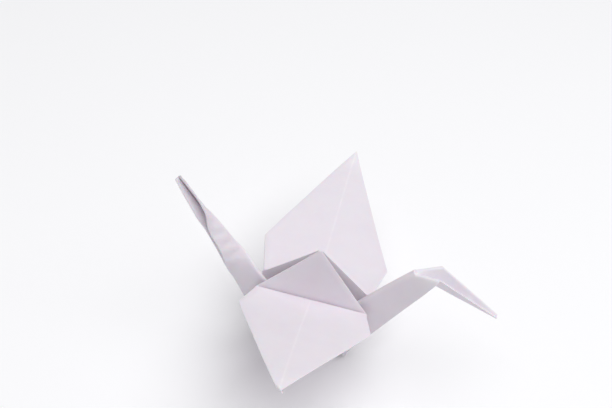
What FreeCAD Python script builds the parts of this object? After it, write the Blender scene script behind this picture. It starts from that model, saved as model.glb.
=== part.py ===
"""A paper crane folded from one square sheet.

The sheet is laid out as the fields of its crease pattern.  Each field is a thin
plate at its own level in the folded stack, and neighbouring fields are joined by
the rounded bend of their fold, so that the whole crane is one closed sheet.
X runs from the tail to the head, Y from the near wing to the far wing, Z up.
"""
import FreeCAD
import Part
import itertools
import math
import os

SIZES = [
    ("sheet_side", 150.0, "side of the square sheet, mm"),
    ("paper_gauge", 0.11, "thickness of the paper, mm"),
    ("layer_pitch", 0.2, "distance from one layer to the next, mm"),
    ("hump_spread", 2.6, "opening of the body at the wing hinge, to each side, mm"),
    ("foot_spread", 1.4, "opening of the body at its lower corners, to each side, mm"),
    ("apex_gap", 0.35, "distance of the hump's tip from the middle plane, mm"),
    ("hinge_lift", 0.3, "height of the wing hinge above the hump's lower corner, mm"),
    ("near_wing_angle", 70.0, "near wing, measured from straight up, degrees"),
    ("far_wing_angle", 82.5, "far wing, measured from straight up, degrees"),
    ("near_wing_skew", 2.7, "swing of the near wing toward the head, degrees"),
    ("far_wing_skew", -1.5, "swing of the far wing toward the head, degrees"),
    ("near_wing_twist", 0.8, "turn of the near wing about its length, degrees"),
    ("far_wing_twist", -8.0, "turn of the far wing about its length, degrees"),
    ("wing_droop", 1.0, "fall of a wing's widest corners below its centre crease, mm"),
    ("wing_curl", 0.5, "fall of a wing's tip below the straight line, mm"),
    ("neck_angle", 40.6, "neck, measured from straight up, degrees"),
    ("tail_angle", 40.3, "tail, measured from straight up, degrees"),
    ("neck_root", 32.8, "depth of the neck's reverse fold below the hump's tip, mm"),
    ("tail_root", 34.4, "depth of the tail's reverse fold below the hump's tip, mm"),
    ("head_length", 29.4, "length of the head along its spine, mm"),
    ("head_drop", 18.6, "head, measured below level, degrees"),
    ("head_opening", 3.4, "opening of the neck where the head starts, to each side, mm"),
    ("beak_blunt", 1.4, "length lost from the head's point by the paper's thickness, mm"),
    ("tail_blunt", 4.0, "length lost from the tail's point by the paper's thickness, mm"),
    ("neck_lean", 0.6, "shift of the beak toward the near wing, mm"),
    ("tail_lean", 4.2, "shift of the tail's point toward the near wing, mm"),
    ("tail_twist", 86.0, "turn of the tail's upper half about its length, degrees"),
    ("tail_gape", 0.45, "opening of the tail's rims in its upper half, to each side, mm"),
]

doc = FreeCAD.newDocument("PaperCrane")
book = doc.addObject("Spreadsheet::Sheet", "Dimensions")
for row, (alias, value, note) in enumerate(SIZES, start=1):
    book.set("A%d" % row, note)
    book.set("B%d" % row, str(value))
    book.setAlias("B%d" % row, alias)
doc.recompute()


def size(alias):
    """Return the value of one driving dimension."""
    return float(book.get(alias))


SIDE = size("sheet_side")
GAUGE = size("paper_gauge")
PITCH = size("layer_pitch")
SPREAD = size("hump_spread")
FOOT = size("foot_spread")
APEX = size("apex_gap")
BEND_STEPS = 4


def meet(p, q, r, s):
    """Return the point where line p-q meets line r-s."""
    ax, az = q[0] - p[0], q[1] - p[1]
    bx, bz = s[0] - r[0], s[1] - r[1]
    turn = ax * bz - az * bx
    step = ((r[0] - p[0]) * bz - (r[1] - p[1]) * bx) / turn
    return (p[0] + ax * step, p[1] + az * step)


def mirrored(p, a, b):
    """Return point p mirrored in the line a-b."""
    ux, uz = b[0] - a[0], b[1] - a[1]
    step = ((p[0] - a[0]) * ux + (p[1] - a[1]) * uz) / (ux * ux + uz * uz)
    foot = (a[0] + ux * step, a[1] + uz * step)
    return (2.0 * foot[0] - p[0], 2.0 * foot[1] - p[1])


def moved_left(p, q, inset):
    """Return line p-q moved to its left by the inset."""
    ux, uz = q[0] - p[0], q[1] - p[1]
    long = math.hypot(ux, uz)
    dx, dz = -uz / long * inset, ux / long * inset
    return ((p[0] + dx, p[1] + dz), (q[0] + dx, q[1] + dz))


# Points of the flat folded base: x is measured from the centre line, z from the
# hump's tip, which is the middle of the sheet.
HALF = SIDE / math.sqrt(2.0)
KITE = math.tan(math.radians(22.5))
SLIM = math.tan(math.radians(11.25))
TOP = (0.0, 0.0)
LEG = (0.0, -HALF)
SHOULDER = (HALF * KITE / (1.0 + KITE), -HALF * KITE / (1.0 + KITE))
WING_TIP = (0.0, HALF - 2.0 * SHOULDER[0])
SLIM_FAR = (HALF * SLIM, 0.0)
HUMP = meet(TOP, SHOULDER, LEG, SLIM_FAR)
WING_SIDE = meet(WING_TIP, SHOULDER, LEG, SLIM_FAR)
WAIST = meet((0.0, SHOULDER[1]), SHOULDER, LEG, SLIM_FAR)
WAIST_MID = (0.0, SHOULDER[1])
TUCK = mirrored(SHOULDER, LEG, SLIM_FAR)
HINGE_Z = HUMP[1] + size("hinge_lift")
HINGE_MID = (0.0, HINGE_Z)
HINGE_OUT = meet(HINGE_MID, (1.0, HINGE_Z), LEG, SLIM_FAR)
HINGE_TUCK = meet(HINGE_MID, (1.0, HINGE_Z), WING_SIDE, TUCK)

# Insets that leave room for the nested bends of the layers.
RIM = 3.5 * PITCH
TIGHT = 0.5 * PITCH
SLIT = 0.75 * PITCH
SEAM_INSET = 2.2 * PITCH
TUCK_INSET = 3.5 * PITCH
ROOT_INSET = 5.5 * PITCH + 0.5 * FOOT
LEG_RIM = 1.5 * PITCH
NECK_SPINE = 4.0 * PITCH
SPINE_END = 1.0 * PITCH
LEAN_START = 8.0
HEAD_INSET = 2.0 * PITCH
WING_RIM = 1.6 * PITCH
BODY_SPINE_TOP = 3.0 * PITCH
BODY_SPINE_LOW = 5.9 * PITCH
PEAK_DROP = 3.0 * PITCH

# Order of the layers from the middle plane outwards; the body's lie outside the leg's four.
LEG_STACK = ("M2", "S2", "S1", "M1")
HEAD_STACK = ("M1", "S1", "S2", "M2")
BODY_STACK = ("M1", "ST", "WI", "WO", "WO2", "WI2", "ST2", "M2")
LEG_LEVEL = {name: 0.5 + place for place, name in enumerate(LEG_STACK)}
HEAD_LEVEL = {name: 0.5 + place for place, name in enumerate(HEAD_STACK)}
LEVEL = {name: 0.5 + len(LEG_STACK) + place for place, name in enumerate(BODY_STACK)}
CUT_EDGES = {"WO": ("raw",), "WOW": ("raw",), "WI2": ("cut",), "ST2": ("cut",)}
ACROSS = FreeCAD.Vector(0.0, 1.0, 0.0)


class Field:
    """One field of the crease pattern at its place in the folded crane.

    edges: (name, p, q, inset) in turn, the field lying to the left of p-q.
    place: function from flat (x, z) to the middle of the paper in space.
    lean: function from flat (x, z) to the direction of the paper's thickness.
    cuts: heights z at which the field is divided so that it can curve.
    run: placing that gives the paper's direction where it enters a bend, if not place.
    """

    def __init__(self, edges, place, lean, cuts=(), run=None):
        self.place = place
        self.run = run or place
        self.lean = lean
        lines = [moved_left(p, q, inset) for (_, p, q, inset) in edges]
        count = len(edges)
        corners = [meet(*lines[i - 1], *lines[i]) for i in range(count)]
        self.chains = {}
        self.outline = []
        for i in range(count):
            start, stop = corners[i], corners[(i + 1) % count]
            chain = [start]
            for z in sorted(cuts, reverse=stop[1] < start[1]):
                if min(start[1], stop[1]) + 1e-6 < z < max(start[1], stop[1]) - 1e-6:
                    share = (z - start[1]) / (stop[1] - start[1])
                    chain.append((start[0] + (stop[0] - start[0]) * share, z))
            self.outline.extend(chain)
            self.chains[edges[i][0]] = chain + [stop]
        self.cuts = sorted(cuts)

    def cells(self):
        """Return the field's outline divided at its cuts, as lists of flat points."""
        levels = [z for z in self.cuts if min(p[1] for p in self.outline) + 1e-6 < z
                  < max(p[1] for p in self.outline) - 1e-6]
        bounds = [-1e9] + levels + [1e9]
        found = []
        for low, high in zip(bounds, bounds[1:]):
            cell = [p for p in self.outline if low - 1e-6 <= p[1] <= high + 1e-6]
            if len(cell) > 2:
                found.append(cell)
        return found

    def skin(self, p, way):
        """Return the point of the upper (+1) or lower (-1) skin over flat point p."""
        return self.place(*p) + self.lean(*p) * (0.5 * GAUGE * way)

    def outward(self, name, index):
        """Return the direction in the paper that leaves the field at a chain point."""
        chain = self.chains[name]
        start, stop = chain[0], chain[-1]
        ux, uz = stop[0] - start[0], stop[1] - start[1]
        long = math.hypot(ux, uz)
        inner = (chain[index][0] - uz / long * 1e-3, chain[index][1] + ux / long * 1e-3)
        away = self.run(*chain[index]) - self.run(*inner)
        along = self.place(*stop) - self.place(*start)
        along.normalize()
        away = away - along * away.dot(along)
        away.normalize()
        return away


faces = []


def add_face(points):
    """Add one flat face, or its triangles when the points don't lie in a plane."""
    clean = []
    for point in points:
        if not clean or (point - clean[-1]).Length > 1e-6:
            clean.append(point)
    while len(clean) > 1 and (clean[0] - clean[-1]).Length <= 1e-6:
        clean.pop()
    if len(clean) < 3:
        return
    normal = FreeCAD.Vector(0.0, 0.0, 0.0)
    for a, b in zip(clean, clean[1:] + clean[:1]):
        normal = normal + (a - clean[0]).cross(b - clean[0])
    normal.normalize()
    if max(abs((p - clean[0]).dot(normal)) for p in clean) < 1e-7:
        faces.append(Part.Face(Part.makePolygon(clean + [clean[0]])))
        return
    for i in range(1, len(clean) - 1):
        faces.append(Part.Face(Part.makePolygon([clean[0], clean[i], clean[i + 1], clean[0]])))


def add_field(field, raw=()):
    """Add both skins of a field and the cut edges of the paper named in raw."""
    for cell in field.cells():
        add_face([field.skin(p, 1) for p in cell])
        add_face([field.skin(p, -1) for p in cell])
    for name in raw:
        chain = field.chains[name]
        for a, b in zip(chain, chain[1:]):
            add_face([field.skin(a, 1), field.skin(b, 1), field.skin(b, -1), field.skin(a, -1)])


class Bend:
    """The rounded bend that joins two fields along the fold that they share.

    rows: for each point along the fold, the pairs of skin points around the bend.
    """

    def __init__(self, one, name_one, two, name_two):
        chain_one = one.chains[name_one]
        chain_two = two.chains[name_two]
        self.starts = [one.place(*p) for p in chain_one]
        stops = [two.place(*p) for p in chain_two]
        order = list(range(len(chain_two)))
        straight = (self.starts[0] - stops[0]).Length + (self.starts[-1] - stops[-1]).Length
        turned = (self.starts[0] - stops[-1]).Length + (self.starts[-1] - stops[0]).Length
        if turned < straight:
            order.reverse()
        self.stops = [stops[k] for k in order]
        self.rows = []
        for i, k in enumerate(order):
            leave = one.outward(name_one, i)
            enter = two.outward(name_two, k)
            self.rows.append(self.section(i, leave, enter, one.lean(*chain_one[i]), two.lean(*chain_two[k])))
        self.open_ends = {0, -1}

    def section(self, i, leave, enter, first, last):
        """Return the skin points around the bend at its point i."""
        along = self.starts[-1] - self.starts[0]
        along.normalize()
        start, stop = self.starts[i], self.stops[i]
        turn = max(leave.getAngle(enter * -1.0), 1e-3)
        chord = stop - start
        chord = chord - along * chord.dot(along)
        radius = chord.Length / (2.0 * math.sin(0.5 * turn))
        pull = 4.0 / 3.0 * math.tan(0.25 * turn) * radius
        near, far = start + leave * pull, stop + enter * pull
        sign = 1.0 if leave.cross(along).dot(first) > 0.0 else -1.0
        end_way = 1.0 if (enter * -1.0).cross(along).dot(last) * sign > 0.0 else -1.0
        row = [(start + first * (0.5 * GAUGE), start - first * (0.5 * GAUGE))]
        for step in range(1, BEND_STEPS):
            u = step / float(BEND_STEPS)
            v = 1.0 - u
            middle = start * v ** 3 + near * (3 * v * v * u) + far * (3 * v * u * u) + stop * u ** 3
            run = (near - start) * (v * v) + (far - near) * (2 * v * u) + (stop - far) * (u * u)
            thick = run.cross(along) * sign
            thick.normalize()
            row.append((middle + thick * (0.5 * GAUGE), middle - thick * (0.5 * GAUGE)))
        row.append((stop + last * (0.5 * GAUGE * end_way), stop - last * (0.5 * GAUGE * end_way)))
        return row

    def add_skins(self):
        """Add both skins of the bend, between its ends."""
        for left, right in zip(self.rows, self.rows[1:]):
            for j in range(BEND_STEPS):
                for k in (0, 1):
                    add_face([left[j][k], right[j][k], right[j + 1][k], left[j + 1][k]])

    def add_open_ends(self):
        """Close the ends that meet no other bend and don't lie in the middle of a field."""
        for end in self.open_ends:
            if abs(self.starts[end].x) < 1e-9 and abs(self.stops[end].x) < 1e-9:
                continue
            row = self.rows[end]
            for j in range(BEND_STEPS):
                add_face([row[j][0], row[j + 1][0], row[j + 1][1], row[j][1]])


def middle_of(pair):
    """Return the point between two skin points."""
    return (pair[0] + pair[1]) * 0.5


def ring_of(bends):
    """Return the ends of the bends that meet round one point, head to tail."""
    for picks in itertools.product((0, -1), repeat=len(bends)):
        ends = [bend.rows[pick] for bend, pick in zip(bends, picks)]
        for first in (ends[0], ends[0][::-1]):
            ring = [first]
            for row in ends[1:]:
                here = middle_of(ring[-1][-1])
                if (middle_of(row[0]) - here).Length < 1e-6:
                    ring.append(row)
                elif (middle_of(row[-1]) - here).Length < 1e-6:
                    ring.append(row[::-1])
                else:
                    break
            if len(ring) == len(bends) and (middle_of(ring[-1][-1]) - middle_of(ring[0][0])).Length < 1e-6:
                for bend, pick in zip(bends, picks):
                    bend.open_ends.discard(pick)
                return same_side(ring)
    raise RuntimeError("folds don't meet round a point")


def same_side(ring):
    """Return the ring with its skin points in the same order all round."""
    sorted_ring = [ring[0]]
    for row in ring[1:]:
        swap = (row[0][0] - sorted_ring[-1][-1][0]).Length > 1e-6
        sorted_ring.append([pair[::-1] for pair in row] if swap else row)
    return sorted_ring


def add_elbow(*bends):
    """Fill the point where four folds meet, between the ends of their bends."""
    ring = ring_of(bends)
    low, right, high, left = ring[0], ring[1], ring[2][::-1], ring[3][::-1]
    n = BEND_STEPS
    for k in (0, 1):
        grid = []
        for i in range(n + 1):
            s = i / float(n)
            line = []
            for j in range(n + 1):
                t = j / float(n)
                point = low[i][k] * (1 - t) + high[i][k] * t + left[j][k] * (1 - s) + right[j][k] * s
                point = point - low[0][k] * ((1 - s) * (1 - t)) - low[n][k] * (s * (1 - t))
                point = point - high[0][k] * ((1 - s) * t) - high[n][k] * (s * t)
                line.append(point)
            grid.append(line)
        for i in range(n):
            for j in range(n):
                add_face([grid[i][j], grid[i + 1][j], grid[i + 1][j + 1], grid[i][j + 1]])


bends = {}


def add_fold(key, one, name_one, two, name_two):
    """Join two fields by the bend of the fold that they share, and keep it by its key."""
    bend = Bend(one, name_one, two, name_two)
    bend.add_skins()
    bends[key] = bend


def root_points(depth, angle):
    """Return the inner and outer end of a reverse fold at the root of a leg."""
    half_turn = math.radians(angle) / 2.0
    inner = (0.0, -depth)
    toward = (math.cos(half_turn), -depth - math.sin(half_turn))
    return inner, meet(inner, toward, LEG, SLIM_FAR)


NECK_ROOT = root_points(size("neck_root"), size("neck_angle"))
TAIL_ROOT = root_points(size("tail_root"), size("tail_angle"))
FOOT_Z = min(NECK_ROOT[1][1], TAIL_ROOT[1][1])
HEAD_TURN = math.radians(90.0 + size("head_drop") - size("neck_angle"))
NAPE = (0.0, LEG[1] + size("head_length"))
NAPE_WAY = (math.sin(HEAD_TURN / 2.0), NAPE[1] - math.cos(HEAD_TURN / 2.0))
JAW = meet(NAPE, NAPE_WAY, LEG, SLIM_FAR)

# Height of the upper corner of the hump's side, where the body's slope changes.
HUMP_CORNER = meet(*moved_left(HUMP, TOP, TIGHT), *moved_left(LEG, HUMP, RIM))
BREAK_Z = HUMP_CORNER[1]


def page_gap(z):
    """Return how far a page of the body stands off the middle plane at height z."""
    return FOOT + (SPREAD - FOOT) * (z - FOOT_Z) / (BREAK_Z - FOOT_Z)


def page(side, hand, level):
    """Return the placing of a layer of the body below the wing hinge."""
    def place(x, z):
        return FreeCAD.Vector(hand * x, side * (page_gap(z) + level * PITCH), z)
    return place


def hump(side, hand):
    """Return the placing of the hump's front or rear face above the hinge."""
    low = SPREAD + LEVEL["ST"] * PITCH
    top_z = -PEAK_DROP

    def place(x, z):
        share = (z - top_z) / (BREAK_Z - top_z)
        return FreeCAD.Vector(hand * x, side * (APEX + (low - APEX) * share), z)
    return place


def gusset(side, hand, root):
    """Return the placing of the body's inner layer, from the spine to the rim."""
    inner, _ = root
    spine_low = LEVEL["M1"] * PITCH
    tip = APEX - PITCH

    def place(x, z):
        if z > BREAK_Z:
            share = (z + PEAK_DROP) / (BREAK_Z + PEAK_DROP)
            outer = tip + (SPREAD + LEVEL["M1"] * PITCH - tip) * max(share, 0.0)
            reach = max(-z, 1e-6)
        else:
            outer = page_gap(z) + LEVEL["M1"] * PITCH
            reach = (z - LEG[1]) * SLIM - RIM
        depth = (z + PEAK_DROP) / (inner[1] + PEAK_DROP)
        spine = tip + (spine_low - tip) * min(max(depth, 0.0), 1.0)
        across = min(max(x / reach, 0.0), 1.0)
        return FreeCAD.Vector(hand * x, side * (spine + (outer - spine) * across), z)
    return place


def wing(side, hand, level):
    """Return the placing and the lean of a layer of the wing."""
    near = side < 0
    angle = math.radians(size("near_wing_angle" if near else "far_wing_angle"))
    twist = math.tan(math.radians(size("near_wing_twist" if near else "far_wing_twist")))
    skew = math.tan(math.radians(size("near_wing_skew" if near else "far_wing_skew")))
    out = FreeCAD.Vector(skew, side * math.sin(angle), math.cos(angle))
    up = FreeCAD.Vector(0.0, -side * math.cos(angle), math.sin(angle))
    hinge = FreeCAD.Vector(0.0, side * (SPREAD + LEVEL["ST2"] * PITCH), HINGE_Z)
    lift = (LEVEL["ST2"] - level) * PITCH
    long = WING_TIP[1] - HINGE_Z

    def place(x, z):
        v = z - HINGE_Z
        grown = 1.0 - (1.0 - v / long) ** 3
        rise = hand * x * twist * grown - size("wing_droop") * x / WING_SIDE[0] * grown
        rise -= size("wing_curl") * (v / long) ** 2
        return hinge + FreeCAD.Vector(hand * x, 0.0, 0.0) + out * v + up * (lift + rise)

    def lean(x, z):
        return up
    return place, lean


def level_lean(x, z):
    """Return the thickness direction of every layer that stands upright."""
    return ACROSS


def reach_of(z, root, start):
    """Return how far along a leg height z is, from 0 at the start below its root to 1 at its point."""
    first = root[0][1] - start
    return min(max((first - z) / (first - LEG[1]), 0.0), 1.0)


def neck_lean(z):
    """Return how far the neck has moved toward the near wing at height z."""
    return size("neck_lean") * reach_of(z, NECK_ROOT, LEAN_START) ** 1.3


def tail_lean(z):
    """Return how far the tail has moved toward the near wing at height z."""
    return size("tail_lean") * reach_of(z, TAIL_ROOT, LEAN_START) ** 1.3


def neck_turn(z):
    """Return the turn of the neck about its length at height z."""
    return 0.0


def tail_turn(z):
    """Return the turn of the tail about its length at height z."""
    grown = min(max((reach_of(z, TAIL_ROOT, LEAN_START) - 0.36) / 0.46, 0.0), 1.0)
    return math.radians(size("tail_twist")) * grown * grown * (3.0 - 2.0 * grown)


def leg(side, hand, root, level, shape):
    """Return the placing and the lean of a layer of the neck or tail.

    shape: its functions for the opening at x, z and for the lean and turn at z.
    """
    opened, leaned, turned = shape

    def place(x, z):
        middle = 0.5 * (z - LEG[1]) * SLIM
        off = side * (opened(x, z) + level * PITCH)
        c, s = math.cos(turned(z)), math.sin(turned(z))
        px, pz = mirrored((middle + (x - middle) * c + off * s, z), *root)
        return FreeCAD.Vector(hand * px, off * c - (x - middle) * s - leaned(z), pz)

    def lean(x, z):
        c, s = math.cos(turned(z)), math.sin(turned(z))
        ax, az = mirrored((1.0, z), *root)
        bx, bz = mirrored((0.0, z), *root)
        return FreeCAD.Vector(hand * (ax - bx) * s, c, (az - bz) * s)
    return place, lean


def neck_opening(x, z):
    """Return how far the neck's layers stand off the middle plane."""
    grown = min(max((NECK_ROOT[1][1] - z) / (NECK_ROOT[1][1] - NAPE[1]), 0.0), 1.0)
    across = min(x / ((z - LEG[1]) * SLIM), 1.0)
    back = 4.0 * PITCH
    return grown * (back + (size("head_opening") - back) * across)


def tail_opening(x, z):
    """Return how far the tail's layers stand off the middle plane."""
    grown = min(max((reach_of(z, TAIL_ROOT, LEAN_START) - 0.36) / 0.3, 0.0), 1.0)
    shut = 1.0 - reach_of(z, TAIL_ROOT, LEAN_START) ** 6
    return size("tail_gape") * grown * shut * min(x / ((z - LEG[1]) * SLIM), 1.0)


def head(side, hand, root, level):
    """Return the placing of a layer of the head, inside the end of the neck."""
    def place(x, z):
        folded = mirrored((x, z), NAPE, JAW)
        px, pz = mirrored(folded, *root)
        off = (size("head_opening") - 4.0 * PITCH) * x / JAW[0]
        return FreeCAD.Vector(hand * px, side * (off + level * PITCH) - neck_lean(z), pz)
    return place


def body_fields(side, hand, root):
    """Return the fields of one quarter of the body and wing."""
    inner, outer = root
    rim = ("rim", outer, HUMP, RIM)
    made = {}
    spine = ("spine", (BODY_SPINE_TOP, -PEAK_DROP), (BODY_SPINE_LOW, inner[1]), 0.0)
    made["M1"] = Field([("root", inner, outer, ROOT_INSET), rim, ("ridge", HUMP, TOP, TIGHT), spine],
                       gusset(side, hand, root), level_lean, (), page(side, hand, LEVEL["M1"]))
    crest = (0.0, BREAK_Z)
    brow = (0.0, -PEAK_DROP)
    made["STT"] = Field([("low", crest, (1.0, BREAK_Z), 0.0), ("ridge", HUMP, TOP, TIGHT),
                         ("top", (1.0, -PEAK_DROP), brow, 0.0), ("mid", brow, crest, 0.0)],
                        hump(side, hand), level_lean)
    made["ST"] = Field([("waist", WAIST_MID, WAIST, TIGHT), ("rim", WAIST, HUMP, RIM),
                        ("low", (1.0, BREAK_Z), crest, 0.0), ("mid", crest, WAIST_MID, 0.0)],
                       page(side, hand, LEVEL["ST"]), level_lean)
    made["WI"] = Field([("waist", WAIST_MID, WAIST, TIGHT), ("rim", WAIST, WING_SIDE, RIM),
                        ("hinge", HINGE_OUT, HINGE_MID, 0.0), ("mid", HINGE_MID, WAIST_MID, 0.0)],
                       page(side, hand, LEVEL["WI"]), level_lean)
    made["WO"] = Field([("root", inner, outer, ROOT_INSET), ("rim", outer, WING_SIDE, RIM),
                        ("hinge", HINGE_OUT, HINGE_MID, 0.0), ("raw", HINGE_MID, inner, SLIT)],
                       page(side, hand, LEVEL["WO"]), level_lean)
    made["WO2"] = Field([("root", inner, outer, ROOT_INSET), ("rim", outer, WING_SIDE, RIM),
                         ("hinge", HINGE_OUT, HINGE_MID, 0.0), ("tuck", WING_SIDE, TUCK, TIGHT),
                         ("seam", TUCK, inner, SEAM_INSET)],
                        page(side, hand, LEVEL["WO2"]), level_lean)
    made["WI2"] = Field([("fan", TUCK, WAIST, TIGHT), ("rim", WAIST, WING_SIDE, RIM),
                         ("hinge", HINGE_OUT, HINGE_MID, 0.0), ("tuck", WING_SIDE, TUCK, TIGHT),
                         ("cut", TUCK, WAIST_MID, TUCK_INSET)], page(side, hand, LEVEL["WI2"]), level_lean)
    made["ST2"] = Field([("fan", TUCK, WAIST, TIGHT), ("rim", WAIST, HUMP, RIM),
                         ("ridge", HUMP, TUCK, TIGHT), ("cut", TUCK, WAIST_MID, TUCK_INSET)],
                        page(side, hand, LEVEL["ST2"]), level_lean)
    made["M2"] = Field([("root", inner, outer, ROOT_INSET), rim, ("ridge", HUMP, TUCK, TIGHT),
                        ("seam", TUCK, inner, SEAM_INSET)], page(side, hand, LEVEL["M2"]), level_lean)
    long = WING_TIP[1] - WING_SIDE[1]
    cuts = [WING_SIDE[1] + long * share for share in (0.25, 0.5, 0.75)]
    base = ("hinge", HINGE_MID, HINGE_OUT, 0.0)
    wide = ("rim", moved_left(HINGE_OUT, WING_SIDE, RIM)[0], moved_left(HINGE_OUT, WING_SIDE, WING_RIM)[1], 0.0)
    edge = ("edge", WING_SIDE, WING_TIP, TIGHT)
    tuck = ("tuck", WING_SIDE, TUCK, TIGHT)
    made["WIW"] = Field([base, wide, edge, ("mid", WING_TIP, HINGE_MID, 0.0)],
                        *wing(side, hand, LEVEL["WI"]), cuts)
    made["WOW"] = Field([base, wide, edge, ("raw", WING_TIP, HINGE_MID, SLIT)],
                        *wing(side, hand, LEVEL["WO"]), cuts)
    made["WO2W"] = Field([base, wide, tuck], *wing(side, hand, LEVEL["WO2"]))
    made["WI2W"] = Field([base, wide, tuck], *wing(side, hand, LEVEL["WI2"]))
    return made


def leg_fields(side, hand, root, last, shape, count):
    """Return the four layers of one side of the neck or tail, down to the line last.

    count: number of cuts at which the leg can curve.
    """
    inner, outer = root
    first, stop = outer[1] - 6.0 * ROOT_INSET, max(last[1][1], last[2][1]) + ROOT_INSET
    cuts = [first + (stop - first) * k / (count - 1.0) for k in range(count)]
    spine = ("spine", (NECK_SPINE, inner[1]), (SPINE_END, LEG[1]), 0.0)
    made = {}
    for name, level in LEG_LEVEL.items():
        edges = [spine, last, ("rim", LEG, outer, LEG_RIM), ("root", outer, inner, ROOT_INSET)]
        made[name] = Field(edges, *leg(side, hand, root, level, shape), cuts)
    return made


def join_body(at, made, legs):
    """Add one quarter of the body and wing, with its folds to the leg.  at names it."""
    for name in made:
        add_field(made[name], CUT_EDGES.get(name, ()))
    for one, two, fold in (("M1", "M2", "rim"), ("ST", "ST2", "rim"), ("WI", "WI2", "rim"),
                           ("WO", "WO2", "rim"), ("WIW", "WI2W", "rim"), ("WOW", "WO2W", "rim"),
                           ("M1", "STT", "ridge"), ("M2", "ST2", "ridge"), ("ST2", "WI2", "fan"),
                           ("ST", "WI", "waist"), ("WI2", "WO2", "tuck"), ("WI2W", "WO2W", "tuck"),
                           ("M2", "WO2", "seam"), ("WIW", "WOW", "edge"), ("WI", "WIW", "hinge"),
                           ("WO", "WOW", "hinge"), ("WO2", "WO2W", "hinge"), ("WI2", "WI2W", "hinge")):
        add_fold(at + (one, two), made[one], fold, made[two], fold)
    for one, two in (("M1", "M1"), ("WO", "S1"), ("WO2", "S2"), ("M2", "M2")):
        add_fold(at + ("root", two), made[one], "root", legs[two], "root")
    for ring in ((("M1", "M2"), ("M2", "ST2"), ("ST", "ST2"), ("M1", "STT")),
                 (("ST", "ST2"), ("ST2", "WI2"), ("WI", "WI2"), ("ST", "WI")),
                 (("WIW", "WOW"), ("WOW", "WO2W"), ("WI2W", "WO2W"), ("WIW", "WI2W")),
                 (("WI", "WIW"), ("WIW", "WI2W"), ("WI2", "WI2W"), ("WI", "WI2")),
                 (("WO", "WOW"), ("WOW", "WO2W"), ("WO2", "WO2W"), ("WO", "WO2")),
                 (("WI2", "WI2W"), ("WI2W", "WO2W"), ("WO2", "WO2W"), ("WI2", "WO2")),
                 (("M1", "M2"), ("root", "M1"), ("leg", "M1", "M2"), ("root", "M2")),
                 (("WO", "WO2"), ("root", "S1"), ("leg", "S1", "S2"), ("root", "S2")),
                 (("M2", "WO2"), ("root", "M2"), ("leg", "M2", "S2"), ("root", "S2"))):
        add_elbow(*[bends[at + key] for key in ring])


def join_leg(at, made, cut):
    """Add the layers of one side of a leg, with its rim and seam folds.  at names it."""
    for name in made:
        add_field(made[name], cut + (("spine",) if name == "S1" else ()))
    add_fold(at + ("M1", "M2"), made["M1"], "rim", made["M2"], "rim")
    add_fold(at + ("S1", "S2"), made["S1"], "rim", made["S2"], "rim")
    add_fold(at + ("M2", "S2"), made["M2"], "spine", made["S2"], "spine")


NECK_SHAPE = (neck_opening, neck_lean, neck_turn)
TAIL_SHAPE = (tail_opening, tail_lean, tail_turn)
HEAD_CUTS = [JAW[1] + (LEG[1] - JAW[1]) * share for share in (0.25, 0.5)]
whole = {}
brows = {}
for side in (-1, 1):
    neck = leg_fields(side, 1, NECK_ROOT, ("end", NAPE, JAW, HEAD_INSET), NECK_SHAPE, 4)
    join_leg((side, 1, "leg"), neck, ())
    body = body_fields(side, 1, NECK_ROOT)
    join_body((side, 1), body, neck)
    beak_z = LEG[1] + size("beak_blunt")
    beak = ("cut", (0.0, beak_z), (1.0, beak_z), 0.0)
    skull = {}
    for name, level in HEAD_LEVEL.items():
        rim = (moved_left(LEG, JAW, TIGHT)[0], moved_left(LEG, JAW, LEG_RIM)[1])
        edges = [("spine", NAPE, LEG, TIGHT if name != "S1" else SLIT), beak,
                 ("rim", *rim, 0.0), ("end", JAW, NAPE, HEAD_INSET)]
        skull[name] = Field(edges, head(side, 1, NECK_ROOT, level), level_lean, HEAD_CUTS)
    join_leg((side, 1, "head"), skull, ("cut",))
    for name in LEG_LEVEL:
        add_fold((side, 1, "end", name), neck[name], "end", skull[name], "end")
    add_elbow(bends[(side, 1, "leg", "M1", "M2")], bends[(side, 1, "end", "M1")],
              bends[(side, 1, "head", "M1", "M2")], bends[(side, 1, "end", "M2")])
    tail_z = LEG[1] + size("tail_blunt")
    tail = leg_fields(side, -1, TAIL_ROOT, ("end", (0.0, tail_z), (1.0, tail_z), 0.0), TAIL_SHAPE, 13)
    join_leg((side, -1, "leg"), tail, ("end",))
    rump = body_fields(side, -1, TAIL_ROOT)
    join_body((side, -1), rump, tail)
    brows[(side, 1)] = body["STT"]
    brows[(side, -1)] = rump["STT"]
    whole[side] = {"body": body["M1"], "neck": neck["M1"], "head": skull["M1"],
                   "tail": tail["M1"], "rump": rump["M1"]}
for name in whole[-1]:
    add_fold(("spine", name), whole[-1][name], "spine", whole[1][name], "spine")
for hand, trunk, limb in ((1, "body", "neck"), (-1, "rump", "tail")):
    add_elbow(bends[("spine", trunk)], bends[(1, hand, "root", "M1")],
              bends[("spine", limb)], bends[(-1, hand, "root", "M1")])
add_elbow(bends[("spine", "neck")], bends[(1, 1, "end", "M1")],
          bends[("spine", "head")], bends[(-1, 1, "end", "M1")])
for hand, trunk in ((1, "body"), (-1, "rump")):
    add_fold(("peak", hand), brows[(-1, hand)], "top", brows[(1, hand)], "top")
    add_elbow(bends[("peak", hand)], bends[(1, hand, "M1", "STT")],
              bends[("spine", trunk)], bends[(-1, hand, "M1", "STT")])
for bend in bends.values():
    bend.add_open_ends()

shell = Part.makeShell(faces)
shell.sewShape()
sheet = Part.Solid(shell)
if sheet.Volume < 0.0:
    sheet.reverse()
low = sheet.BoundBox
print("faces", len(faces), "closed", shell.isClosed(), "valid", sheet.isValid(), "volume", sheet.Volume)

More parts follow.
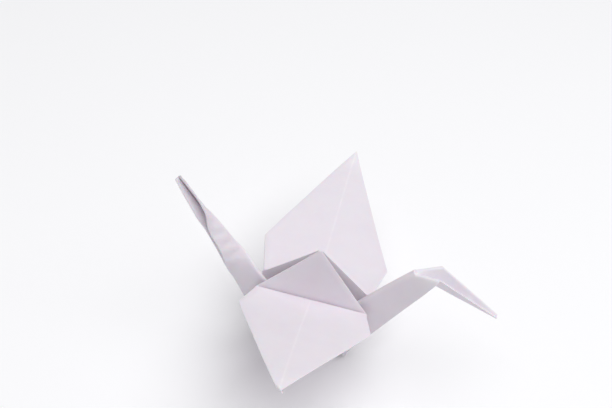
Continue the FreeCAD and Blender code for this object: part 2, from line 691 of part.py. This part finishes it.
crane = doc.addObject("Part::Feature", "folded_sheet")
crane.Label = "folded_sheet"
crane.Shape = sheet
rest = FreeCAD.Vector(-low.Center.x, -low.Center.y, -low.ZMin)
crane.Placement = FreeCAD.Placement(rest, FreeCAD.Rotation())
doc.recompute()

for item in doc.Objects:
    if "Invalid" in item.State or "Error" in item.State:
        raise RuntimeError("%s did not build" % item.Name)
if crane.Shape.isNull() or not crane.Shape.isValid():
    raise RuntimeError("the folded sheet is not a valid solid")
os.makedirs("parts", exist_ok=True)
crane.Shape.exportStep("parts/folded_sheet.step")
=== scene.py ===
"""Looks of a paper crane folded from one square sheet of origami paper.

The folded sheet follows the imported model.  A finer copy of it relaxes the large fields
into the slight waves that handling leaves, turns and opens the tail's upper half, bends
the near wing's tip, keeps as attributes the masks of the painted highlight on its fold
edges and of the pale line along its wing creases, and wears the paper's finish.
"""

import logging
import math
from dataclasses import dataclass
from enum import Enum

import bmesh
import bpy
from mathutils import Matrix, Vector


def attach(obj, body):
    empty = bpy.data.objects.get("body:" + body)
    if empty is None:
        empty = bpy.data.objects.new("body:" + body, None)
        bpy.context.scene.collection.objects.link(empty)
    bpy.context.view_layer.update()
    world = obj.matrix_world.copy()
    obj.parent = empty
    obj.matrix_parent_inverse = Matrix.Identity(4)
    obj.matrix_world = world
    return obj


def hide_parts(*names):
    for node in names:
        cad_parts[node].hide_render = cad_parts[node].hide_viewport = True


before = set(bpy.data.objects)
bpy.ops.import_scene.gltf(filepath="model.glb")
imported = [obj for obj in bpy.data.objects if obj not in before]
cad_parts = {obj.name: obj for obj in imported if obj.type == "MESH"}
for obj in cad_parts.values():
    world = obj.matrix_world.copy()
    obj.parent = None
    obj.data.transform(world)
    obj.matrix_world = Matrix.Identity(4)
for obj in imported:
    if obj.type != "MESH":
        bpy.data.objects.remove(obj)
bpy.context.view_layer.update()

MM = 0.001
log = logging.getLogger("paper_crane")


def linear(code: str) -> tuple[float, float, float, float]:
    """Turn an sRGB hex colour into an opaque linear one.

    Args:
        code: six hex digits, with or without a leading #.

    Returns:
        The linear red, green, blue and alpha.
    """
    digits = code.lstrip("#")
    parts = [int(digits[i:i + 2], 16) / 255.0 for i in (0, 2, 4)]
    red, green, blue = [
        p / 12.92 if p <= 0.04045 else ((p + 0.055) / 1.055) ** 2.4 for p in parts]
    return (red, green, blue, 1.0)


def eased(value: float, low: float, high: float) -> float:
    """Return 0 below low, 1 above high and a smooth rise between them.

    Args:
        value: the number to place.
        low: where the rise begins.
        high: where the rise ends.

    Returns:
        A number from 0 to 1.
    """
    share = min(max((value - low) / (high - low), 0.0), 1.0)
    return share * share * (3.0 - 2.0 * share)


def add_node(tree: bpy.types.NodeTree, kind: str, settings: dict | None = None,
             links: dict | None = None) -> bpy.types.Node:
    """Add a node to a tree with its settings and its incoming links.

    Args:
        tree: the tree that gets the node.
        kind: the node's type name.
        settings: attribute names, or socket numbers or names, with their values.
        links: socket numbers or names of the node, with the socket that feeds each.

    Returns:
        The new node.
    """
    node = tree.nodes.new(kind)
    for key, value in (settings or {}).items():
        if isinstance(key, str) and hasattr(node, key):
            setattr(node, key, value)
        else:
            node.inputs[key].default_value = value
    for key, source in (links or {}).items():
        tree.links.new(source, node.inputs[key])
    return node


class Mark(Enum):
    """Attributes of the folded sheet that the paper's finish reads."""

    CREASE = "crease_offset"
    # FOLD holds the mask of the painted highlight along fold edges; CREASE places the pale line
    # along each wing's centre crease.
    FOLD = "fold_highlight"


@dataclass(frozen=True)
class FoldedPaper:
    """Thin uncoated origami paper, machine-made and near white; the faint pink-lavender cast of
    its colour is a painted reflection of pink light from nearby.

    Its face is dead matt with a faint cloud of pulp and a fine tooth of fibres.  Along
    fold edges a painted highlight stands for the light the folds catch, and along the
    wings' old centre creases runs a paler line.
    """

    name: str = "uncoated_origami_paper"
    # shade and cloud: near-white paper with a painted pink-lavender reflection cast; cloud adds
    # the pulp's random mottling.
    shade: str = "#E2D8E1"
    cloud: str = "#E9E2E9"
    # Colour of the painted highlight on fold edges and of the pale line along the wing creases.
    fold_highlight_and_crease: str = "#F2EDF2"
    roughness: float = 0.82
    cloud_mm: float = 11.0
    fibre_mm: float = 0.5
    crease_mm: float = 0.32
    crease_strength: float = 0.5
    # How strongly the painted highlight shows on fold edges.
    fold_highlight_strength: float = 0.8
    patch_mm: float = 4.0
    bump_strength: float = 0.35
    bump_mm: float = 0.05
    scatter: float = 0.25
    scatter_mm: float = 0.3

    def build(self) -> bpy.types.Material:
        """Build the material.

        Returns:
            The node material for the folded sheet.
        """
        material = bpy.data.materials.new(self.name)
        material.use_nodes = True
        tree = material.node_tree
        tree.nodes.clear()
        place = add_node(tree, "ShaderNodeTexCoord").outputs["Object"]
        cloud = add_node(tree, "ShaderNodeTexNoise",
                         {"Scale": 1.0 / (self.cloud_mm * MM), "Detail": 4.0, "Roughness": 0.6},
                         {"Vector": place})
        # Paper colour: near white with the painted pink reflection cast, mottled by the pulp
        # cloud.
        body = add_node(tree, "ShaderNodeMix",
                        {"data_type": "RGBA", 6: linear(self.shade), 7: linear(self.cloud)},
                        {0: cloud.outputs["Fac"]})
        fibre = add_node(tree, "ShaderNodeTexNoise",
                         {"Scale": 1.0 / (self.fibre_mm * MM), "Detail": 5.0, "Roughness": 0.65},
                         {"Vector": place})
        line = self.highlight_and_crease_line(tree, place)
        # Mix the painted fold-edge highlight and the pale crease line into the paper's colour.
        highlighted = add_node(tree, "ShaderNodeMix", {"data_type": "RGBA", 7: linear(self.fold_highlight_and_crease)},
                        {0: line, 6: body.outputs[2]})
        height = add_node(tree, "ShaderNodeMath", {"operation": "MULTIPLY_ADD", 1: 1.6},
                          {0: line, 2: fibre.outputs["Fac"]})
        bump = add_node(tree, "ShaderNodeBump",
                        {"Strength": self.bump_strength, "Distance": self.bump_mm * MM},
                        {"Height": height.outputs[0]})
        shader = add_node(tree, "ShaderNodeBsdfPrincipled",
                          {"Roughness": self.roughness, "IOR": 1.5, "Specular IOR Level": 0.3,
                           "Subsurface Weight": self.scatter,
                           "Subsurface Scale": self.scatter_mm * MM},
                          {"Base Color": highlighted.outputs[2], "Normal": bump.outputs["Normal"]})
        add_node(tree, "ShaderNodeOutputMaterial", None, {"Surface": shader.outputs["BSDF"]})
        return material

    def highlight_and_crease_line(self, tree: bpy.types.NodeTree,
                     place: bpy.types.NodeSocket) -> bpy.types.NodeSocket:
        """Add the mask of the painted fold-edge highlights and the pale crease lines.

        Args:
            tree: the material's node tree.
            place: the object coordinates, which break the line up a little.

        Returns:
            The socket with the mask, from 0 on the plain paper to 1 where a fold edge takes the
            full painted highlight.
        """
        offset = add_node(tree, "ShaderNodeAttribute", {"attribute_name": Mark.CREASE.value})
        ratio = add_node(tree, "ShaderNodeMath", {"operation": "DIVIDE", 1: self.crease_mm},
                         {0: offset.outputs["Fac"]})
        square = add_node(tree, "ShaderNodeMath", {"operation": "MULTIPLY"},
                          {0: ratio.outputs[0], 1: ratio.outputs[0]})
        bell = add_node(tree, "ShaderNodeMath", {"operation": "POWER", 0: math.exp(-1.0)},
                        {1: square.outputs[0]})
        # Mask of the painted highlight along fold edges.
        fold = add_node(tree, "ShaderNodeAttribute", {"attribute_name": Mark.FOLD.value})
        faint = add_node(tree, "ShaderNodeMath",
                         {"operation": "MULTIPLY", 1: self.crease_strength}, {0: bell.outputs[0]})
        both = add_node(tree, "ShaderNodeMath",
                        {"operation": "MULTIPLY_ADD", 1: self.fold_highlight_strength, "use_clamp": True},
                        {0: fold.outputs["Fac"], 2: faint.outputs[0]})
        patchy = add_node(tree, "ShaderNodeTexNoise",
                          {"Scale": 1.0 / (self.patch_mm * MM), "Detail": 2.0}, {"Vector": place})
        level = add_node(tree, "ShaderNodeMapRange", {1: 0.3, 2: 0.7, 3: 0.3, 4: 0.8},
                         {0: patchy.outputs["Fac"]})
        mask = add_node(tree, "ShaderNodeMath", {"operation": "MULTIPLY"},
                        {0: both.outputs[0], 1: level.outputs[0]})
        return mask.outputs[0]


@dataclass(frozen=True)
class LooseTail:
    """The tail's own set: its middle turns early and the two halves of its point gape.

    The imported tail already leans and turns; the extra turn and opening start from there.
    Lengths are in millimetres and angles in degrees.  Heights run along the spine from foot,
    a place measured from the hump's tip, and a range holds the heights between which
    something grows from none to all.  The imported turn's range is a share of the free length.
    """

    hump_tip: Vector
    foot: tuple[float, float, float] = (0.0, 0.0, -34.4)
    along: Vector = Vector((-0.6468, 0.0, 0.7627))
    outer: Vector = Vector((-0.7627, 0.0, -0.6468))
    length: float = 71.67
    taper: float = math.tan(math.radians(11.25))
    free_x: float = -18.0
    start: float = 28.5
    packed_start: float = 8.0
    packed_lean: float = 4.2
    lean_power: float = 1.3
    packed_turn: float = 86.0
    packed_range: tuple[float, float] = (0.36, 0.82)
    early_turn: float = 42.0
    early_end: float = 37.0
    fade_range: tuple[float, float] = (39.0, 50.0)
    late_turn: float = 18.0
    late_range: tuple[float, float] = (47.0, 55.0)
    gape: float = 1.0
    gape_range: tuple[float, float] = (47.0, 54.0)
    shut_power: int = 8

    def height(self, place: Vector) -> float:
        """Return how far along the spine a place is, or 0 where it isn't on the free tail.

        Args:
            place: a point of the sheet, in metres.

        Returns:
            The height in millimetres.
        """
        offset = (place - self.hump_tip) / MM - Vector(self.foot)
        height = offset.dot(self.along)
        return height if offset.x < self.free_x and height > self.start else 0.0

    def moved(self, place: Vector) -> Vector:
        """Return where a point of the tail comes to lie.

        Args:
            place: a point of the sheet, in metres.

        Returns:
            The new place, in metres.
        """
        height = self.height(place)
        if not height:
            return place
        offset = (place - self.hump_tip) / MM - Vector(self.foot)
        width = (self.length - height) * self.taper
        reach = (height - self.packed_start) / (self.length - self.packed_start)
        lean = self.packed_lean * reach ** self.lean_power
        turn = math.radians(self.packed_turn) * eased(reach, *self.packed_range)
        across, depth = offset.dot(self.outer) - 0.5 * width, offset.y + lean
        inward = across * math.cos(turn) - depth * math.sin(turn)
        off = across * math.sin(turn) + depth * math.cos(turn)
        rim = min(max(inward / width + 0.5, 0.0), 1.0)
        shut = 1.0 - reach ** self.shut_power
        opening = self.gape * eased(height, *self.gape_range) * shut * rim
        off += math.copysign(opening, off)
        early = eased(height, self.start, self.early_end) - eased(height, *self.fade_range)
        turn += math.radians(self.early_turn * early
                             + self.late_turn * eased(height, *self.late_range))
        across = inward * math.cos(turn) + off * math.sin(turn) + 0.5 * width
        depth = off * math.cos(turn) - inward * math.sin(turn) - lean
        offset = self.along * height + self.outer * across + Vector((0.0, depth, 0.0))
        return self.hump_tip + (offset + Vector(self.foot)) * MM


@dataclass(frozen=True)
class BentTip:
    """A wing's point, bent under over a chord between the wing's two edges, in millimetres."""

    tip: Vector
    edges: tuple[Vector, Vector] = (
        Vector((-0.419, 0.851, -0.318)), Vector((0.3475, 0.882, -0.3195)))
    cut: tuple[float, float] = (4.2, 1.5)
    radius: float = 0.3
    turn: float = 150.0
    zone: float = 8.0

    def moved(self, place: Vector) -> Vector:
        """Return where a point of the wing comes to lie.

        Args:
            place: a point of the sheet, in metres.

        Returns:
            The new place, in metres.
        """
        first, second = [edge * cut for edge, cut in zip(self.edges, self.cut)]
        offset = (place - self.tip) / MM - first
        hinge = (second - first).normalized()
        up = second.cross(first).normalized()
        outward = hinge.cross(up)
        if outward.dot(first) > 0.0:
            outward = -outward
        past = offset.dot(outward)
        if past <= 0.0 or (place - self.tip).length > self.zone * MM:
            return place
        turned = min(past / self.radius, math.radians(self.turn))
        rest = past - self.radius * turned
        lift = self.radius + offset.dot(up)
        out = lift * math.sin(turned) + rest * math.cos(turned)
        rise = lift * math.cos(turned) - rest * math.sin(turned) - self.radius
        moved = hinge * offset.dot(hinge) + outward * out + up * rise + first
        return self.tip + moved * MM


@dataclass
class FoldedSheet:
    """The one folded sheet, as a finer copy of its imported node.

    hump_tip is the crane's highest middle point, in metres.  Other lengths are in
    millimetres, and angles in degrees.
    """

    hump_tip: Vector
    node: str = "folded_sheet"
    name: str = "folded_paper"
    longest_edge: float = 3.0
    tail_edge: float = 1.5
    tip_edge: float = 0.4
    tip_zone: float = 4.0
    loose_gap: float = 0.002
    highlight_from: float = 32.0
    highlight_range: float = 12.0
    wave_height: float = 0.5
    wave_length: float = 38.0
    quiet_height: float = 9.0
    wing_from: float = 5.4
    hinge_middle: float = 4.7
    off_wing: float = 20.0
    seed: int = 4
    sharp_angle: float = 21.0

    def build(self) -> bpy.types.Object:
        """Build the sheet's mesh, its marks and its waves.

        Returns:
            The finished object, at the origin.
        """
        mesh = self.refined_copy()
        self.mark_creases(mesh)
        tail = LooseTail(self.hump_tip)
        tip = BentTip(min((vert.co for vert in mesh.vertices), key=lambda co: co.y).copy())
        for vert in mesh.vertices:
            vert.co = tip.moved(tail.moved(vert.co))
        piece = bpy.data.objects.new(self.name, mesh)
        bpy.context.collection.objects.link(piece)
        self.relax(piece)
        return piece

    def refined_copy(self) -> bpy.types.Mesh:
        """Copy the node's mesh, merge its loose triangles and divide its long edges.

        Returns:
            The new mesh, with the mask of the painted fold-edge highlight on it.
        """
        source = bpy.data.objects[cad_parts[self.node].name]
        work = bmesh.new()
        work.from_mesh(source.data)
        bmesh.ops.remove_doubles(work, verts=work.verts, dist=self.loose_gap * MM)
        # Mask of the painted highlight on fold edges: it rises with the sharpest fold angle at
        # each point.
        fold = work.verts.layers.float.new(Mark.FOLD.value)
        for vert in work.verts:
            turn = max([edge.calc_face_angle(0.0) for edge in vert.link_edges], default=0.0)
            highlighted = (math.degrees(turn) - self.highlight_from) / self.highlight_range
            vert[fold] = min(max(highlighted, 0.0), 1.0)
        tail = LooseTail(self.hump_tip)
        tip = min((vert.co for vert in work.verts), key=lambda co: co.y).copy()
        for _ in range(9):
            long_edges = []
            for edge in work.edges:
                middle = 0.5 * (edge.verts[0].co + edge.verts[1].co)
                longest = self.tail_edge if tail.height(middle) else self.longest_edge
                if (middle - tip).length < self.tip_zone * MM:
                    longest = self.tip_edge
                if edge.calc_length() > longest * MM:
                    long_edges.append(edge)
            if not long_edges:
                break
            bmesh.ops.subdivide_edges(work, edges=long_edges, cuts=1)
            bmesh.ops.triangulate(work, faces=work.faces)
        mesh = bpy.data.meshes.new(self.name)
        work.to_mesh(mesh)
        work.free()
        mesh.validate()
        log.info("%s: %d triangles", self.name, len(mesh.polygons))
        return mesh

    def mark_creases(self, mesh: bpy.types.Mesh) -> None:
        """Write each point's distance in millimetres from its wing's centre crease.

        Args:
            mesh: the sheet's mesh.
        """
        marks = mesh.attributes.new(Mark.CREASE.value, "FLOAT", "POINT")
        tips = {-1: min(mesh.vertices, key=lambda v: v.co.y).co.copy(),
                1: max(mesh.vertices, key=lambda v: v.co.y).co.copy()}
        for vert in mesh.vertices:
            across = (vert.co.y - self.hump_tip.y) / MM
            side = -1 if across < 0.0 else 1
            distance = self.off_wing
            if abs(across) > self.wing_from:
                tip = tips[side]
                root = Vector((self.hump_tip.x,
                               self.hump_tip.y + side * self.hinge_middle * MM, tip.z))
                share = (vert.co.y - root.y) / (tip.y - root.y)
                distance = (vert.co.x - root.x - (tip.x - root.x) * share) / MM
            marks.data[vert.index].value = distance

    def relax(self, piece: bpy.types.Object) -> None:
        """Let the paper's fields wave a little and make the result a plain mesh.

        Args:
            piece: the object that holds the sheet's mesh.
        """
        tree = bpy.data.node_groups.new("relaxed_paper", "GeometryNodeTree")
        tree.interface.new_socket("Geometry", in_out="INPUT", socket_type="NodeSocketGeometry")
        tree.interface.new_socket("Geometry", in_out="OUTPUT", socket_type="NodeSocketGeometry")
        values = {"Wave Height": self.wave_height * MM, "Wave Length": self.wave_length * MM,
                  "Quiet Height": self.quiet_height * MM, "Seed": float(self.seed)}
        for label in values:
            tree.interface.new_socket(label, in_out="INPUT", socket_type="NodeSocketFloat")
        tree.interface.new_socket("Paper", in_out="INPUT", socket_type="NodeSocketMaterial")
        enter = add_node(tree, "NodeGroupInput").outputs
        place = add_node(tree, "GeometryNodeInputPosition").outputs[0]
        scale = add_node(tree, "ShaderNodeMath", {"operation": "DIVIDE", 0: 1.0},
                         {1: enter["Wave Length"]})
        noise = add_node(tree, "ShaderNodeTexNoise",
                         {"noise_dimensions": "4D", "Detail": 1.0, "Roughness": 0.4},
                         {"Vector": place, "W": enter["Seed"], "Scale": scale.outputs[0]})
        centred = add_node(tree, "ShaderNodeVectorMath",
                           {"operation": "SUBTRACT", 1: (0.5, 0.5, 0.5)},
                           {0: noise.outputs["Color"]})
        height = add_node(tree, "ShaderNodeSeparateXYZ", None, {0: place}).outputs["Z"]
        free = add_node(tree, "ShaderNodeMath", {"operation": "DIVIDE", "use_clamp": True},
                        {0: height, 1: enter["Quiet Height"]})
        reach = add_node(tree, "ShaderNodeMath", {"operation": "MULTIPLY"},
                         {0: free.outputs[0], 1: enter["Wave Height"]})
        double = add_node(tree, "ShaderNodeMath", {"operation": "MULTIPLY", 1: 2.0},
                          {0: reach.outputs[0]})
        shift = add_node(tree, "ShaderNodeVectorMath", {"operation": "SCALE"},
                         {0: centred.outputs[0], "Scale": double.outputs[0]})
        moved = add_node(tree, "GeometryNodeSetPosition", None,
                         {"Geometry": enter["Geometry"], "Offset": shift.outputs[0]})
        real = add_node(tree, "GeometryNodeRealizeInstances", None, {0: moved.outputs[0]})
        dressed = add_node(tree, "GeometryNodeSetMaterial", None,
                           {"Geometry": real.outputs[0], "Material": enter["Paper"]})
        add_node(tree, "NodeGroupOutput", None, {0: dressed.outputs[0]})
        modifier = piece.modifiers.new("relaxed_paper", "NODES")
        modifier.node_group = tree
        values["Paper"] = FoldedPaper().build()
        for socket in tree.interface.items_tree:
            if socket.in_out == "INPUT" and socket.name in values:
                modifier[socket.identifier] = values[socket.name]
        view = bpy.context.evaluated_depsgraph_get()
        mesh = bpy.data.meshes.new_from_object(piece.evaluated_get(view), depsgraph=view)
        piece.modifiers.clear()
        piece.data = mesh
        mesh.name = self.name
        mesh.shade_smooth()
        mesh.set_sharp_from_angle(angle=math.radians(self.sharp_angle))


@dataclass
class Studio:
    """Pale floor, one soft panel of light and the camera at the viewing angle.

    The camera's place is in millimetres from the hump's tip; the panel and the floor are in
    metres and watts.
    """

    hump_tip: Vector
    eye: tuple[float, float, float] = (34.0, -275.4, 238.3)
    right: tuple[float, float, float] = (0.964, 0.237, 0.118)
    down: tuple[float, float, float] = (0.239, -0.589, -0.772)
    focal_px: float = 1231.0
    width_px: int = 612
    sensor_mm: float = 36.0
    floor_reach: float = 6.0
    floor_shade: str = "#FAFAFC"
    sky_strength: float = 0.34
    panel_place: tuple[float, float, float] = (0.2, -0.1, 1.0)
    panel_size: float = 1.3
    panel_power: float = 11.0
    panel_aim: tuple[float, float, float] = (0.0, 0.0, 0.03)

    def place_camera(self) -> None:
        """Create the scene's camera."""
        data = bpy.data.cameras.new("camera")
        data.sensor_width = self.sensor_mm
        data.lens = self.sensor_mm * self.focal_px / self.width_px
        data.clip_start = 0.01
        data.clip_end = 50.0
        camera = bpy.data.objects.new("camera", data)
        bpy.context.collection.objects.link(camera)
        x = Vector(self.right).normalized()
        y = (-Vector(self.down)).normalized()
        z = x.cross(y).normalized()
        y = z.cross(x)
        turn = Matrix((x, y, z)).transposed().to_4x4()
        camera.matrix_world = Matrix.Translation(self.hump_tip + Vector(self.eye) * MM) @ turn
        bpy.context.scene.camera = camera

    def lay_floor(self) -> None:
        """Create the floor."""
        mesh = bpy.data.meshes.new("floor")
        s = self.floor_reach
        mesh.from_pydata([(-s, -s, 0.0), (s, -s, 0.0), (s, s, 0.0), (-s, s, 0.0)], [],
                         [(0, 1, 2, 3)])
        floor = bpy.data.objects.new("floor", mesh)
        bpy.context.collection.objects.link(floor)
        material = bpy.data.materials.new("studio_floor")
        material.use_nodes = True
        shader = material.node_tree.nodes["Principled BSDF"]
        shader.inputs["Base Color"].default_value = linear(self.floor_shade)
        shader.inputs["Roughness"].default_value = 0.9
        shader.inputs["Specular IOR Level"].default_value = 0.1
        mesh.materials.append(material)

    def hang_panel(self) -> None:
        """Hang the soft square panel that faces the crane."""
        data = bpy.data.lights.new("top_panel", "AREA")
        data.shape = "SQUARE"
        data.size = self.panel_size
        data.energy = self.panel_power
        panel = bpy.data.objects.new("top_panel", data)
        bpy.context.collection.objects.link(panel)
        panel.location = self.panel_place
        toward = Vector(self.panel_aim) - Vector(self.panel_place)
        panel.rotation_euler = toward.to_track_quat("-Z", "Y").to_euler()

    def light(self) -> None:
        """Set the surrounding light and hang the panel."""
        world = bpy.data.worlds.new("studio")
        bpy.context.scene.world = world
        world.use_nodes = True
        background = world.node_tree.nodes["Background"]
        background.inputs["Color"].default_value = linear("#FFFFFF")
        background.inputs["Strength"].default_value = self.sky_strength
        self.hang_panel()
        bpy.context.scene.view_settings.view_transform = "Standard"


def main() -> None:
    """Build the crane and its studio."""
    logging.basicConfig(level=logging.INFO, format="%(message)s")
    hump_tip = Vector((-5.295, -1.604, 39.151)) * MM
    studio = Studio(hump_tip)
    studio.place_camera()
    sheet = FoldedSheet(hump_tip).build()
    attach(sheet, "root")
    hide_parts("folded_sheet")
    studio.lay_floor()
    studio.light()


if __name__ == "__main__":
    main()
